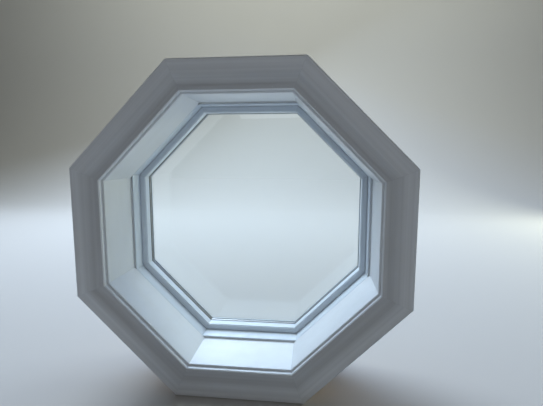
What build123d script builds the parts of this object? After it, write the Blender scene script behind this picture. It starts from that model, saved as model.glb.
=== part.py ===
from build123d import *
import os
from math import cos, radians, sin, tan

# Octagonal fixed window for a framed wall, with its deep painted jamb and casing.
# Millimetres. The origin is the centre of the nailing fin's bearing face.
# +Y points outdoors, +Z up, and +X to the right for someone in the room.
os.makedirs("parts", exist_ok=True)

# Driving dimensions: the wall opening's lining
wall_thickness = 165.1  # from the room's wall face to the fin's bearing face
board_thickness = 19.05
reveal = 4.5  # step from the board's face to the casing
board_arris = 0.8

# Driving dimensions: casing
casing_width = 60.3
casing_edge = 10.0  # thickness along the inner bead
casing_back = 14.3  # thickness along the outer band
bead_flat = 8.8  # width of the inner bead
quirk_depth = 1.6
quirk_width = 1.4
band_width = 23.0  # width of the outer band
casing_arris = 1.6
casing_corner = 3.2
relief_depth = 1.6  # hollow in the casing's back
relief_margin = 7.0

# Driving dimensions: vinyl frame
frame_half = 295.3  # from the axis to the frame's outer wall
fin_setback = 34.9  # from the fin's bearing face to the outdoor face
fin_width = 33.0
fin_thickness = 1.6
vinyl_wall = 2.2
leg_wall = 2.4
leg_length = 35.0
nose_round = 0.8
shadow_gap = 3.0  # between the leg and the level boards
stop_thickness = 7.0
stop_bevel = 4.0
groove_depth = 1.1
groove_width = 3.2
groove_from_face = 5.6

# Driving dimensions: glazing bead
bead_width = 13.2
bead_depth = 23.25
bead_skin = 1.5
bead_round = 2.0
bead_joint = 0.6  # fine joint between bead and leg
bead_foot = 5.4
hook_length = 9.6
hook_clearance = 0.2
line_place = 3.2  # from the sight line to the fine line in the bead's face
line_width = 0.8
line_depth = 0.5

# Driving dimensions: insulating glass
pane_thickness = 3.0
air_space = 6.7
edge_clearance = 3.2
sealant_width = 3.5
spacer_width = 6.0
spacer_skin = 0.4
spacer_seam = 0.8
gasket_thickness = 3.0
gasket_width = 4.6
gasket_lip = 0.5
tape_thickness = 1.6
tape_width = 9.0
block_length = 45.0
block_spread = 56.0  # from the middle of the sill to each setting block
block_margin = 1.5

# Driving dimensions: joints, fixings and drainage
filler_joint = 1.2
filler_step = 0.4
filler_width = 3.0
sealant_setback = 1.5  # from the leg's nose to the sealant in the shadow gap
sealant_depth = 4.0
key_thickness = 3.0
key_width = 12.0
key_length = 90.0
key_setback = 22.0
key_clearance = 0.15
brad_width = 1.6
brad_thickness = 1.2
brad_length = 38.0
brad_set = 1.5
brad_spread = 70.0
clip_thickness = 1.2
clip_width = 20.0
clip_reach = 32.0  # from the frame's room face along the board
clip_hook = 4.0  # how far the clip's end reaches through the frame's wall
clip_clearance = 0.2
screw_radius = 1.7
screw_head_flats = 6.0
screw_head_height = 1.8
screw_length = 14.0
screw_setback = 22.0  # from the frame's room face
nail_hole_radius = 2.5
nail_slot_length = 20.0
nail_slot_spread = 80.0
nail_line = 20.0  # from the frame's outer wall to the fin's row of holes
drain_length = 16.0
drain_width = 5.0
drain_spread = 95.0
weep_length = 22.0
weep_width = 4.0
weep_spread = 60.0
weep_line = 12.0  # from the frame's outer wall to the weep slots
cover_thickness = 1.2
cover_length = 34.0
cover_width = 11.0
cover_rise = 3.0
cover_chamfer = 1.5
cover_plug = 1.5
cover_plug_gap = 0.3
cover_plug_depth = 2.2

# Places that follow from them
side_count = 8
screw_head_side_count = 6
side_turn = 360 / side_count
half_turn = radians(side_turn / 2)
level_face = frame_half - board_thickness
leg_outer = level_face - shadow_gap
leg_inner = leg_outer - leg_wall
diagonal_face = leg_inner + filler_step
sight_line = leg_inner - bead_width
glass_half = leg_inner - edge_clearance
y_out = fin_setback
y_stop = y_out - stop_thickness
y_glass_out = y_stop - tape_thickness
y_air_out = y_glass_out - pane_thickness
y_air_in = y_air_out - air_space
y_glass_in = y_air_in - pane_thickness
glass_middle = (y_glass_in + y_glass_out) / 2
y_bead_end = y_glass_in - gasket_thickness
y_face = y_bead_end - bead_depth
y_nose = y_face - leg_length
y_room = -wall_thickness
nail_circle = frame_half + nail_line
y_shoulder = y_nose - filler_joint

side_names = ["right", "upper_right", "top", "upper_left", "left", "lower_left", "bottom", "lower_right"]
sides = {name: side_turn * place for place, name in enumerate(side_names)}
bottom = sides["bottom"]


def outward(angle):
    return Vector(cos(radians(angle)), 0, sin(radians(angle)))


def along(angle):
    return Vector(-sin(radians(angle)), 0, cos(radians(angle)))


def section_plane(angle, distance=0.0, shift=0.0):
    """Plane across a side: x runs outward from the axis, y outdoors and z along the side."""
    origin = outward(angle) * distance + along(angle) * shift
    return Plane(origin=origin, x_dir=outward(angle), z_dir=along(angle))


def flat_plane(angle, distance):
    """Plane flat on a side at a distance from the axis: x along the side, y to the room, z outward."""
    return Plane(origin=outward(angle) * distance, x_dir=along(angle), z_dir=outward(angle))


def depth_plane(depth):
    """Plane across the window's axis, facing outdoors."""
    return Plane(origin=(0, depth, 0), x_dir=(1, 0, 0), z_dir=(0, 1, 0))


def is_diagonal(angle):
    return angle % (2 * side_turn) != 0


def face_of(angle):
    """Distance from the axis to the face of a side's board."""
    return diagonal_face if is_diagonal(angle) else level_face


def face_beside(angle):
    """The same distance for the boards at its two ends."""
    return level_face if is_diagonal(angle) else diagonal_face


def corner_reach(own, beside):
    """Half the length of a side whose neighbours stand at another distance from the axis."""
    turn = radians(side_turn)
    return (beside - own * cos(turn)) / sin(turn)


def mitre_planes(angle, own, beside):
    """The two planes that cut a length to its mitres, facing away from the length."""
    ends = []
    for end in (1, -1):
        corner = outward(angle) * own + along(angle) * (end * corner_reach(own, beside))
        normal = along(angle) * (end * cos(half_turn)) - outward(angle) * sin(half_turn)
        ends.append(Plane(origin=corner, z_dir=normal))
    return ends


def finish(piece, name):
    piece.part.label = name
    export_step(piece.part, f"parts/{name}.step")


level_sides = [angle for angle in sides.values() if not is_diagonal(angle)]
diagonal_sides = [angle for angle in sides.values() if is_diagonal(angle)]


# Casing: a moulding with a flat bead at the opening, a quirk, a long ogee and a broad outer band
with BuildSketch() as casing_section:
    with BuildLine():
        edge_top = (casing_arris, y_room - casing_edge)
        quirk_start = (bead_flat, y_room - casing_edge)
        quirk_floor = (bead_flat + quirk_width, y_room - casing_edge + quirk_depth)
        band_start = (casing_width - band_width, y_room - casing_back)
        corner_start = (casing_width - casing_corner, y_room - casing_back)
        Line((0, y_room), (0, y_room - casing_edge + casing_arris))
        RadiusArc((0, y_room - casing_edge + casing_arris), edge_top, casing_arris)
        Line(edge_top, quirk_start)
        Line(quirk_start, (bead_flat, y_room - casing_edge + quirk_depth))
        Line((bead_flat, y_room - casing_edge + quirk_depth), quirk_floor)
        ogee_middle = ((quirk_floor[0] + band_start[0]) / 2, (quirk_floor[1] + band_start[1]) / 2)
        cove = TangentArc(quirk_floor, ogee_middle, tangent=(1, 0))
        TangentArc(ogee_middle, band_start, tangent=cove % 1)
        Line(band_start, corner_start)
        RadiusArc(corner_start, (casing_width, y_room - casing_back + casing_corner), casing_corner)
        Line((casing_width, y_room - casing_back + casing_corner), (casing_width, y_room))
        relief_outer = casing_width - relief_margin
        relief_inner = board_thickness - reveal
        Polyline(
            (casing_width, y_room),
            (relief_outer, y_room),
            (relief_outer - relief_depth, y_room - relief_depth),
            (relief_inner + relief_depth, y_room - relief_depth),
            (relief_inner, y_room),
            (0, y_room),
        )
    make_face()

# Brads go through the casing's inner bead into the edges of the boards
brad_centre = bead_flat / 2 + casing_arris / 2  # from the casing's inner edge
brad_top = y_room - casing_edge + brad_set
brad_foot = brad_top + brad_length
brad_places = (-brad_spread, brad_spread)


def brad_plane(angle, place):
    """Section plane through a brad: x runs outward from its middle, y outdoors."""
    return section_plane(angle, face_of(angle) + reveal + brad_centre, place)


def brad_shape(start, end):
    """Side view of a brad, or of its hole, between two depths."""
    with Locations((0, (start + end) / 2)):
        Rectangle(brad_thickness, end - start)


for name, angle in sides.items():
    inner = face_of(angle) + reveal
    beside = face_beside(angle) + reveal
    with BuildPart() as casing:
        with BuildSketch(section_plane(angle, inner)):
            add(casing_section.sketch)
        extrude(amount=corner_reach(inner + casing_width, beside + casing_width) + casing_width, both=True)
        for end in mitre_planes(angle, inner, beside):
            split(bisect_by=end, keep=Keep.BOTTOM)
        for place in brad_places:
            with BuildSketch(brad_plane(angle, place)):
                brad_shape(y_room - casing_edge, y_room)
            extrude(amount=brad_width / 2, both=True, mode=Mode.SUBTRACT)
    finish(casing, f"casing_{name}")


# Jamb boards: level and upright ones slip behind the frame's leg, diagonal ones butt against it
# with a shoulder, and every mitre has a slot for its key
level_section = [
    (0, y_room + board_arris),
    (board_arris, y_room),
    (board_thickness, y_room),
    (board_thickness, y_face),
    (0, y_face),
]
tongue_start = level_face - diagonal_face
diagonal_section = [
    (0, y_room + board_arris),
    (board_arris, y_room),
    (board_thickness, y_room),
    (board_thickness, y_face),
    (tongue_start, y_face),
    (tongue_start, y_shoulder),
    (0, y_shoulder),
]
key_middle = y_room + key_setback + key_length / 2


def key_plane(angle, own, beside):
    """Plane on the joint at a length's far end: x across the board's thickness, z out of the joint."""
    middle = own + board_thickness / 2
    beside_middle = beside + board_thickness / 2
    corner = outward(angle) * middle + along(angle) * corner_reach(middle, beside_middle)
    joint = angle + side_turn / 2
    return Plane(origin=corner + Vector(0, key_middle, 0), x_dir=outward(joint), z_dir=along(joint))


for name, angle in sides.items():
    own = face_of(angle)
    beside = face_beside(angle)
    before = angle - side_turn
    with BuildPart() as jamb:
        with BuildSketch(section_plane(angle, own)):
            Polygon(*(diagonal_section if is_diagonal(angle) else level_section), align=None)
        extrude(amount=corner_reach(own, beside) + 2 * board_thickness, both=True)
        for end in mitre_planes(angle, own, beside):
            split(bisect_by=end, keep=Keep.BOTTOM)
        for joint in (key_plane(angle, own, beside), key_plane(before, beside, own)):
            with BuildSketch(joint):
                Rectangle(key_thickness + 2 * key_clearance, key_length + 2 * key_clearance)
            extrude(amount=key_width / 2 + key_clearance, both=True, mode=Mode.SUBTRACT)
        for place in brad_places:
            with BuildSketch(brad_plane(angle, place)):
                brad_shape(y_room, brad_foot)
            extrude(amount=brad_width / 2, both=True, mode=Mode.SUBTRACT)
        if angle in level_sides:
            with Locations(flat_plane(angle, own + board_thickness)):
                with Locations((0, screw_setback - y_face)):
                    Hole(radius=screw_radius, depth=screw_length)
    finish(jamb, f"jamb_{name}")

with BuildPart() as mitre_keys:
    for angle in sides.values():
        with BuildSketch(key_plane(angle, face_of(angle), face_beside(angle))):
            Rectangle(key_thickness, key_length)
        extrude(amount=key_width / 2, both=True)
finish(mitre_keys, "mitre_keys")

with BuildPart() as casing_brads:
    for angle in sides.values():
        for place in brad_places:
            with BuildSketch(brad_plane(angle, place)):
                brad_shape(brad_top, brad_foot)
            extrude(amount=brad_width / 2, both=True)
finish(casing_brads, "casing_brads")

with BuildPart() as brad_filler:
    for angle in sides.values():
        for place in brad_places:
            with BuildSketch(brad_plane(angle, place)):
                brad_shape(y_room - casing_edge, brad_top)
            extrude(amount=brad_width / 2, both=True)
finish(brad_filler, "brad_filler")

# Painted filler in the joint between the diagonal boards and the leg
with BuildPart() as joint_filler:
    for angle in diagonal_sides:
        with BuildSketch(section_plane(angle, diagonal_face)):
            with Locations((filler_width / 2, (y_shoulder + y_nose) / 2)):
                Rectangle(filler_width, filler_joint)
        extrude(amount=corner_reach(diagonal_face, level_face), both=True)
finish(joint_filler, "joint_filler")

# Vinyl frame: one hollow section swept round the octagon and welded at its corners, with a leg
# towards the room, a pocket for the glass, a fixed stop outdoors and a nailing fin
groove_start = y_face + groove_from_face
groove_end = groove_start + groove_width
with BuildSketch() as frame_section:
    with BuildLine():
        Polyline(
            (leg_inner, y_nose),
            (leg_outer, y_nose),
            (leg_outer, y_face),
            (frame_half, y_face),
            (frame_half, 0),
            (frame_half + fin_width, 0),
            (frame_half + fin_width, fin_thickness),
            (frame_half, fin_thickness),
            (frame_half, y_out),
            (sight_line + stop_bevel, y_out),
            (sight_line, y_out - stop_bevel),
            (sight_line, y_stop),
            (leg_inner, y_stop),
            (leg_inner, groove_end),
            (leg_inner + groove_depth, groove_end),
            (leg_inner + groove_depth, groove_start),
            (leg_inner, groove_start),
            close=True,
        )
    make_face()
    fillet(frame_section.vertices().group_by(Axis.Y)[0], radius=nose_round)
    chamber_width = frame_half - vinyl_wall - leg_outer
    chamber_middle = leg_outer + chamber_width / 2
    with Locations((chamber_middle, (y_face + vinyl_wall) / 2)):
        Rectangle(chamber_width, -y_face - vinyl_wall, mode=Mode.SUBTRACT)
    with Locations((chamber_middle, (fin_thickness + y_stop) / 2)):
        Rectangle(chamber_width, y_stop - fin_thickness, mode=Mode.SUBTRACT)
    stop_chamber = frame_half - vinyl_wall - sight_line - stop_bevel
    with Locations((sight_line + stop_bevel + stop_chamber / 2, y_out - stop_thickness / 2)):
        Rectangle(stop_chamber, stop_thickness - 2 * vinyl_wall, mode=Mode.SUBTRACT)

with BuildLine(Plane.XZ) as welded_route:
    corner = frame_half * tan(half_turn)
    Polyline(
        (frame_half, 0),
        (frame_half, corner),
        (corner, frame_half),
        (-corner, frame_half),
        (-frame_half, corner),
        (-frame_half, -corner),
        (-corner, -frame_half),
        (corner, -frame_half),
        (frame_half, -corner),
        close=True,
    )

weep_middle = frame_half - weep_line  # the outdoor plane's y runs down
hook_middle = y_face / 2  # depth of the slots for the clips' hooks
slot_places = [(x, z) for x in (-nail_slot_spread, nail_slot_spread) for z in (-nail_circle, nail_circle)]
with BuildPart() as vinyl_frame:
    sweep(frame_section.sketch, path=welded_route.wire(), transition=Transition.RIGHT)
    with BuildSketch(depth_plane(0)):
        with PolarLocations(nail_circle, side_count):
            Circle(nail_hole_radius)
        with Locations(*slot_places):
            SlotOverall(nail_slot_length, 2 * nail_hole_radius)
        with Locations(*[(x, z) for z, x in slot_places]):
            SlotOverall(nail_slot_length, 2 * nail_hole_radius, rotation=90)
    extrude(amount=fin_thickness, mode=Mode.SUBTRACT)
    with BuildSketch(flat_plane(bottom, leg_inner)):
        with Locations((-drain_spread, -glass_middle), (drain_spread, -glass_middle)):
            SlotOverall(drain_length, drain_width)
    extrude(amount=leg_wall, mode=Mode.SUBTRACT)
    with BuildSketch(depth_plane(y_out)):
        with Locations((-weep_spread, weep_middle), (weep_spread, weep_middle)):
            SlotOverall(weep_length, weep_width)
    extrude(amount=-stop_thickness, mode=Mode.SUBTRACT)
    for angle in level_sides:
        with BuildSketch(flat_plane(angle, frame_half)):
            with Locations((0, -hook_middle)):
                Rectangle(clip_width + 2 * clip_clearance, clip_thickness + 2 * clip_clearance)
        extrude(amount=-vinyl_wall, mode=Mode.SUBTRACT)
finish(vinyl_frame, "vinyl_frame")

# Glazing beads: mitred snap-in lengths with a hook in the frame's groove and a foot on the gasket
hook = bead_width - bead_joint
barb = bead_width + groove_depth - hook_clearance
with BuildSketch() as bead_section:
    with BuildLine():
        RadiusArc((0, y_face + bead_round), (bead_round, y_face), bead_round)
        Polyline(
            (bead_round, y_face),
            (line_place, y_face),
            (line_place, y_face + line_depth),
            (line_place + line_width, y_face + line_depth),
            (line_place + line_width, y_face),
            (hook, y_face),
            (hook, groove_start + hook_clearance),
            (barb, groove_start + hook_clearance),
            (barb, groove_start + groove_width / 2),
            (hook, groove_end - hook_clearance),
            (hook, y_face + hook_length),
            (hook - bead_skin, y_face + hook_length),
            (hook - bead_skin, y_face + bead_skin),
            (bead_skin, y_face + bead_skin),
            (bead_skin, y_bead_end - bead_skin),
            (bead_foot, y_bead_end - bead_skin),
            (bead_foot, y_bead_end),
            (0, y_bead_end),
            (0, y_face + bead_round),
        )
    make_face()

for name, angle in sides.items():
    with BuildPart() as bead:
        with BuildSketch(section_plane(angle, sight_line)):
            add(bead_section.sketch)
        extrude(amount=frame_half * tan(half_turn), both=True)
        for end in mitre_planes(angle, sight_line, sight_line):
            split(bisect_by=end, keep=Keep.BOTTOM)
    finish(bead, f"bead_{name}")


def octagon(apothem, mode=Mode.ADD):
    """Octagon with upright and level sides, given by its distance from the axis to a side."""
    return RegularPolygon(apothem, side_count, major_radius=False, rotation=side_turn / 2, mode=mode)


def octagon_ring(outer, inner):
    octagon(outer)
    octagon(inner, mode=Mode.SUBTRACT)


# Insulating glass: two panes, a hollow spacer bar with desiccant in it, and sealant round the edge
spacer_outer = glass_half - sealant_width
spacer_inner = spacer_outer - spacer_width

with BuildPart() as glass_inner:
    with BuildSketch(depth_plane(y_glass_in)):
        octagon(glass_half)
    extrude(amount=pane_thickness)
finish(glass_inner, "glass_inner")

with BuildPart() as glass_outer:
    with BuildSketch(depth_plane(y_air_out)):
        octagon(glass_half)
    extrude(amount=pane_thickness)
finish(glass_outer, "glass_outer")

with BuildPart() as spacer_bar:
    with BuildSketch(depth_plane(y_air_in)):
        octagon_ring(spacer_outer, spacer_inner)
    extrude(amount=air_space)
    with BuildSketch(depth_plane(y_air_in + spacer_skin)):
        octagon_ring(spacer_outer - spacer_skin, spacer_inner + spacer_skin)
    extrude(amount=air_space - 2 * spacer_skin, mode=Mode.SUBTRACT)
    with BuildSketch(depth_plane((y_air_in + y_air_out - spacer_seam) / 2)):
        octagon(spacer_inner + 2 * spacer_skin)
    extrude(amount=spacer_seam, mode=Mode.SUBTRACT)
finish(spacer_bar, "spacer_bar")

with BuildPart() as desiccant:
    with BuildSketch(depth_plane(y_air_in + spacer_skin)):
        octagon_ring(spacer_outer - spacer_skin, spacer_inner + spacer_skin)
    extrude(amount=air_space - 2 * spacer_skin)
finish(desiccant, "desiccant")

with BuildPart() as edge_sealant:
    with BuildSketch(depth_plane(y_air_in)):
        octagon_ring(glass_half, spacer_outer)
    extrude(amount=air_space)
finish(edge_sealant, "edge_sealant")

# Sealant that closes the shadow gap between the leg and the boards
with BuildPart() as gap_sealant:
    with BuildSketch(depth_plane(y_nose + sealant_setback)):
        octagon_ring(level_face, leg_outer)
    extrude(amount=sealant_depth)
finish(gap_sealant, "gap_sealant")

# Seals and blocks that seat the glass
with BuildPart() as bead_gasket:
    with BuildSketch(depth_plane(y_bead_end)):
        octagon_ring(sight_line + gasket_width, sight_line - gasket_lip)
    extrude(amount=gasket_thickness)
finish(bead_gasket, "bead_gasket")

with BuildPart() as glazing_tape:
    with BuildSketch(depth_plane(y_glass_out)):
        octagon_ring(glass_half, glass_half - tape_width)
    extrude(amount=tape_thickness)
finish(glazing_tape, "glazing_tape")

block_depth = y_glass_out - y_glass_in - 2 * block_margin
with BuildPart() as setting_blocks:
    with BuildSketch(flat_plane(bottom, glass_half)):
        with Locations(*[(x, -glass_middle) for x in (-block_spread, block_spread)]):
            Rectangle(block_length, block_depth)
    extrude(amount=edge_clearance)
finish(setting_blocks, "setting_blocks")

with BuildPart() as side_blocks:
    for name, angle in sides.items():
        if name not in ("top", "bottom"):
            with BuildSketch(flat_plane(angle, glass_half)):
                with Locations((0, -glass_middle)):
                    Rectangle(block_length, block_depth)
            extrude(amount=edge_clearance)
finish(side_blocks, "side_blocks")

# Steel clips that tie the level and upright boards to the frame: each hooks into a slot in the
# frame's outer wall and is screwed to its board
clip_profile = [
    (-clip_hook, hook_middle + clip_thickness / 2),
    (clip_thickness, hook_middle + clip_thickness / 2),
    (clip_thickness, y_face - clip_reach),
    (0, y_face - clip_reach),
    (0, hook_middle - clip_thickness / 2),
    (-clip_hook, hook_middle - clip_thickness / 2),
]
with BuildPart() as jamb_clips:
    for angle in level_sides:
        with BuildSketch(section_plane(angle, frame_half)):
            Polygon(*clip_profile, align=None)
        extrude(amount=clip_width / 2, both=True)
        with BuildSketch(flat_plane(angle, frame_half)):
            with Locations((0, screw_setback - y_face)):
                Circle(screw_radius)
        extrude(amount=clip_thickness, mode=Mode.SUBTRACT)
finish(jamb_clips, "jamb_clips")

with BuildPart() as clip_screws:
    for angle in level_sides:
        head_seat = flat_plane(angle, frame_half + clip_thickness)
        with BuildSketch(head_seat):
            with Locations((0, screw_setback - y_face)):
                RegularPolygon(screw_head_flats / 2, screw_head_side_count, major_radius=False)
        extrude(amount=screw_head_height)
        with BuildSketch(head_seat):
            with Locations((0, screw_setback - y_face)):
                Circle(screw_radius)
        extrude(amount=-clip_thickness - screw_length)
finish(clip_screws, "clip_screws")

# Covers clipped over the weep slots, open at their lower edge
cover_hollow = cover_rise - cover_thickness
plug_reach = (weep_length - weep_width - cover_plug) / 2
with BuildPart() as weep_covers:
    for x in (-weep_spread, weep_spread):
        with BuildSketch(depth_plane(y_out)):
            with Locations((x, weep_middle)):
                Rectangle(cover_length, cover_width)
            chamfer(vertices(), length=cover_chamfer)
        extrude(amount=cover_rise)
        with BuildSketch(depth_plane(y_out)):
            with Locations((x, weep_middle + cover_thickness)):
                Rectangle(cover_length - 2 * cover_thickness, cover_width)
        extrude(amount=cover_hollow, mode=Mode.SUBTRACT)
        with BuildSketch(depth_plane(y_out + cover_hollow)):
            with Locations((x - plug_reach, weep_middle), (x + plug_reach, weep_middle)):
                Rectangle(cover_plug, weep_width - 2 * cover_plug_gap)
        extrude(amount=-cover_hollow - cover_plug_depth)
finish(weep_covers, "weep_covers")
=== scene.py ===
# %% [markdown]
# # An octagonal window with its deep painted lining
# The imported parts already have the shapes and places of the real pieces: eight mitred lengths of
# casing, eight lining boards, a welded vinyl frame, snap-in beads and a double pane. They come in
# first and stay where they are, so that everything added here can be measured from them.

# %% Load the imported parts
from math import cos, pi, sin, tan

import bmesh
import bpy
from mathutils import Matrix, Vector
from mathutils.noise import noise as noise_at


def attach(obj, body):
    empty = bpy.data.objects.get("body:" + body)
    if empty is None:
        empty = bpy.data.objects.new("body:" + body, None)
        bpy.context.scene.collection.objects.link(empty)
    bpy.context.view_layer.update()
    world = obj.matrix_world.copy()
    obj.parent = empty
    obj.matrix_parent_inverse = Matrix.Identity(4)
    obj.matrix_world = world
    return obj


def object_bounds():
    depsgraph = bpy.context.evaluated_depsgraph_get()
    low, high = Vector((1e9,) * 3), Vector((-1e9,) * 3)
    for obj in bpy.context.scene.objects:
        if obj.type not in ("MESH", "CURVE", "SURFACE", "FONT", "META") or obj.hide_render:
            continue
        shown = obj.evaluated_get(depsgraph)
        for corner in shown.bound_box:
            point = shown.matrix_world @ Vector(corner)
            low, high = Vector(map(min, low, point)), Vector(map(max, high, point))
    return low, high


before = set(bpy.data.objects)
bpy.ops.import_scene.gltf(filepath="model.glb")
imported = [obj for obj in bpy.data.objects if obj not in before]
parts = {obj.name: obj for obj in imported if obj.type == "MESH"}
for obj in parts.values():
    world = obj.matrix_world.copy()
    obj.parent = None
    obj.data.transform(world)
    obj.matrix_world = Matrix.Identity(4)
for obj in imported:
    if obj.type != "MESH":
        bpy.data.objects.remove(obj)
cad_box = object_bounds()
print("parts:", len(parts), "size:", [round(b - a, 4) for a, b in zip(*cad_box)])

# %% [markdown]
# ## The eight sides
# Nearly every piece runs along one side of the octagon, so its brush strokes, grain and extrusion
# lines run that way too. Each side has a name and the direction in which it lies from the middle.
# The distance of a face from the middle is read from the part itself, by looking how far its
# vertices reach in that direction. Typing the numbers again would be quicker, but they would
# be wrong as soon as a size changes.

# %% Name the sides and measure a part across its side
side_names = ("right", "upper_right", "top", "upper_left", "left", "lower_left", "bottom", "lower_right")
side_turn = 2 * pi / len(side_names)
sides = {name: number * side_turn for number, name in enumerate(side_names)}
depth = Vector((0, 1, 0))


def outward(angle):
    """Direction of a side from the window's middle."""
    return Vector((cos(angle), 0, sin(angle)))


def reach(part, direction):
    """The nearest and farthest places of a part in a direction."""
    places = [v.co.dot(direction) for v in parts[part].data.vertices]
    return min(places), max(places)


sight_line = reach("bead_right", outward(0))[0]
frame_half = reach("jamb_right", outward(0))[1]
fin_edge = reach("vinyl_frame", outward(0))[1]
outdoor_face = reach("vinyl_frame", depth)[1]
print("clear opening:", round(2 * sight_line, 4), "frame:", round(2 * frame_half, 4))
print("over the fin:", round(2 * fin_edge, 4), "outdoor face at:", round(outdoor_face, 4))

# %% [markdown]
# ## The camera
# The window is seen from nine tenths of a metre in front, from a little to the right of its middle
# and above it, and the camera looks slightly down and to the left. Its place and its turns come
# from matching the octagon's corners, so they are given as numbers. Euler angles would do, but the
# three directions of the camera are easier to check, so the turn is built from them.

# %% Place the camera
image_width = 543
focal_pixels = 382.9
yaw, pitch, roll = -0.1094, -0.1246, 0.0006
camera_place = (0.1480, -0.9000, 0.1602)
forward = Vector((sin(yaw) * cos(pitch), cos(yaw) * cos(pitch), sin(pitch)))
level_right = Vector((cos(yaw), -sin(yaw), 0))
level_up = level_right.cross(forward)
camera_right = level_right * cos(roll) + level_up * sin(roll)
camera_up = level_up * cos(roll) - level_right * sin(roll)

camera = bpy.data.objects.new("camera", bpy.data.cameras.new("camera"))
camera.data.sensor_width = 36
camera.data.lens = focal_pixels / image_width * camera.data.sensor_width
turned = Matrix((camera_right, camera_up, -forward)).transposed().to_4x4()
camera.matrix_world = Matrix.Translation(camera_place) @ turned
bpy.context.scene.collection.objects.link(camera)
bpy.context.scene.camera = camera
print("lens:", round(camera.data.lens, 2), "mm")

# %% [markdown]
# ## Small helpers for shader nodes
# A finish is a tree of nodes. Placing each node by hand takes three lines, so one helper adds a
# node, makes its choices and fills its sockets, with a link where the value comes from another
# node and a plain number elsewhere. The others are short names for the nodes that come back often.

# %% Helpers for values
def add_node(tree, kind, fill=None, **choices):
    """Adds a node, makes its choices, then fills its sockets with values or links."""
    made = tree.nodes.new(kind)
    for name, value in choices.items():
        setattr(made, name, value)
    for socket, value in (fill or {}).items():
        if isinstance(value, bpy.types.NodeSocket):
            tree.links.new(value, made.inputs[socket])
        else:
            made.inputs[socket].default_value = value
    return made


def calc(tree, operation, first, second=0.0):
    """One step of arithmetic."""
    return add_node(tree, "ShaderNodeMath", {0: first, 1: second}, operation=operation).outputs[0]


def add_share(tree, value, extra, share):
    """Adds a share of one value to another, and takes it away where the share is negative."""
    return calc(tree, "ADD", value, calc(tree, "MULTIPLY", extra, share))


def spread(tree, value, low, high, to_low=0.0, to_high=1.0):
    """Stretches a value from one range to another, and holds it there."""
    fill = {0: value, 1: low, 2: high, 3: to_low, 4: to_high}
    return add_node(tree, "ShaderNodeMapRange", fill).outputs[0]


def split(tree, vector):
    """The three numbers of a vector, by their names X, Y and Z."""
    return add_node(tree, "ShaderNodeSeparateXYZ", {0: vector}).outputs


# %% [markdown]
# Colours are mixed in two ways: by a value that varies over the surface, or by a share of such a
# value, as where worn paint shows through at half its strength. Noise has one scale, or one for
# each direction. A small scale along a board draws the pattern out in that direction, which is how
# all strokes, streaks and grain are made here. A picture of wood would have to be laid on each
# board, while noise in a part's own coordinates needs no unwrapping and has no seams. Noise seldom
# leaves the middle of its range, so that middle is stretched to a full one wherever it is used.

# %% Helpers for colours and patterns
usual_range = (0.3, 0.7)
narrow_range = (0.35, 0.65)


def opaque(colour):
    """Gives three plain numbers the fourth that a colour needs, and leaves a socket as it is."""
    return (*colour, 1) if isinstance(colour, tuple) else colour


def blend(tree, share, first, second):
    """A colour between two others, each of them a socket or three plain numbers."""
    fill = {0: share, 6: opaque(first), 7: opaque(second)}
    return add_node(tree, "ShaderNodeMix", fill, data_type="RGBA").outputs[2]


def lay_over(tree, colour, upper, mask, share):
    """Lets a second colour cover a first one by a share of a mask."""
    return blend(tree, calc(tree, "MULTIPLY", mask, share), colour, upper)


def noise(tree, vector, seed, scale, detail=2.0, roughness=0.5):
    """Cloudy noise with one scale or three; a seed gives each board a pattern of its own."""
    if isinstance(scale, tuple):
        stretched = add_node(tree, "ShaderNodeVectorMath", {0: vector, 1: scale}, operation="MULTIPLY")
        vector = stretched.outputs[0]
        scale = 1.0
    fill = {"Vector": vector, "W": seed, "Scale": scale, "Detail": detail, "Roughness": roughness}
    return add_node(tree, "ShaderNodeTexNoise", fill, noise_dimensions="4D").outputs[0]


# %% [markdown]
# An effect that several finishes share is a node group: it is made once and placed in each of them
# with values of its own. A finish starts as a Principled shader with the part's own coordinates.
# The direction that a face looks in tells an upper face from a lower one, and a front from a back.

# %% Helpers for shared effects and finishes
def start_group(name, takes, gives):
    """An empty node group with its sockets; gives the group, what comes in and what goes out."""
    group = bpy.data.node_groups.new(name, "ShaderNodeTree")
    for label, kind, value in takes:
        socket = group.interface.new_socket(label, in_out="INPUT", socket_type="NodeSocket" + kind)
        if value is not None:
            socket.default_value = value
    for label, kind in gives:
        group.interface.new_socket(label, in_out="OUTPUT", socket_type="NodeSocket" + kind)
    return group, group.nodes.new("NodeGroupInput").outputs, group.nodes.new("NodeGroupOutput").inputs


def place_group(tree, group, fill):
    """Puts a shared effect in a finish and fills its sockets with values or links."""
    return add_node(tree, "ShaderNodeGroup", fill, node_tree=group).outputs


def start_finish(name):
    """A new material; gives it, its tree, its shader and the part's own coordinates."""
    material = bpy.data.materials.new(name)
    material.use_nodes = True
    tree = material.node_tree
    place = add_node(tree, "ShaderNodeTexCoord").outputs["Object"]
    return material, tree, tree.nodes["Principled BSDF"], place


def face_direction(tree):
    """The direction that each face looks in."""
    return add_node(tree, "ShaderNodeTexCoord").outputs["Normal"]


def bump(tree, shader, height, distance):
    """Lets a height show in the way light falls."""
    made = add_node(tree, "ShaderNodeBump", {"Height": height, "Distance": distance, "Strength": 1.0})
    tree.links.new(made.outputs["Normal"], shader.inputs["Normal"])


def dress(part, material):
    """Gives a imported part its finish."""
    for slot in parts[part].material_slots:
        slot.material = material


# %% [markdown]
# ## Floor and backdrop
# The window stands on a plain pale floor that curves up into a backdrop, as in a studio. Two
# planes would show a line where they meet. Here an edge is drawn out to make the floor, spun
# through a quarter turn to make the curve, and drawn up to make the backdrop, so there is no line.

# %% Helpers that draw a strip out of an edge
def edges_of(geometry):
    """The edges among what an operator gives back."""
    return [piece for piece in geometry if isinstance(piece, bmesh.types.BMEdge)]


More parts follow.
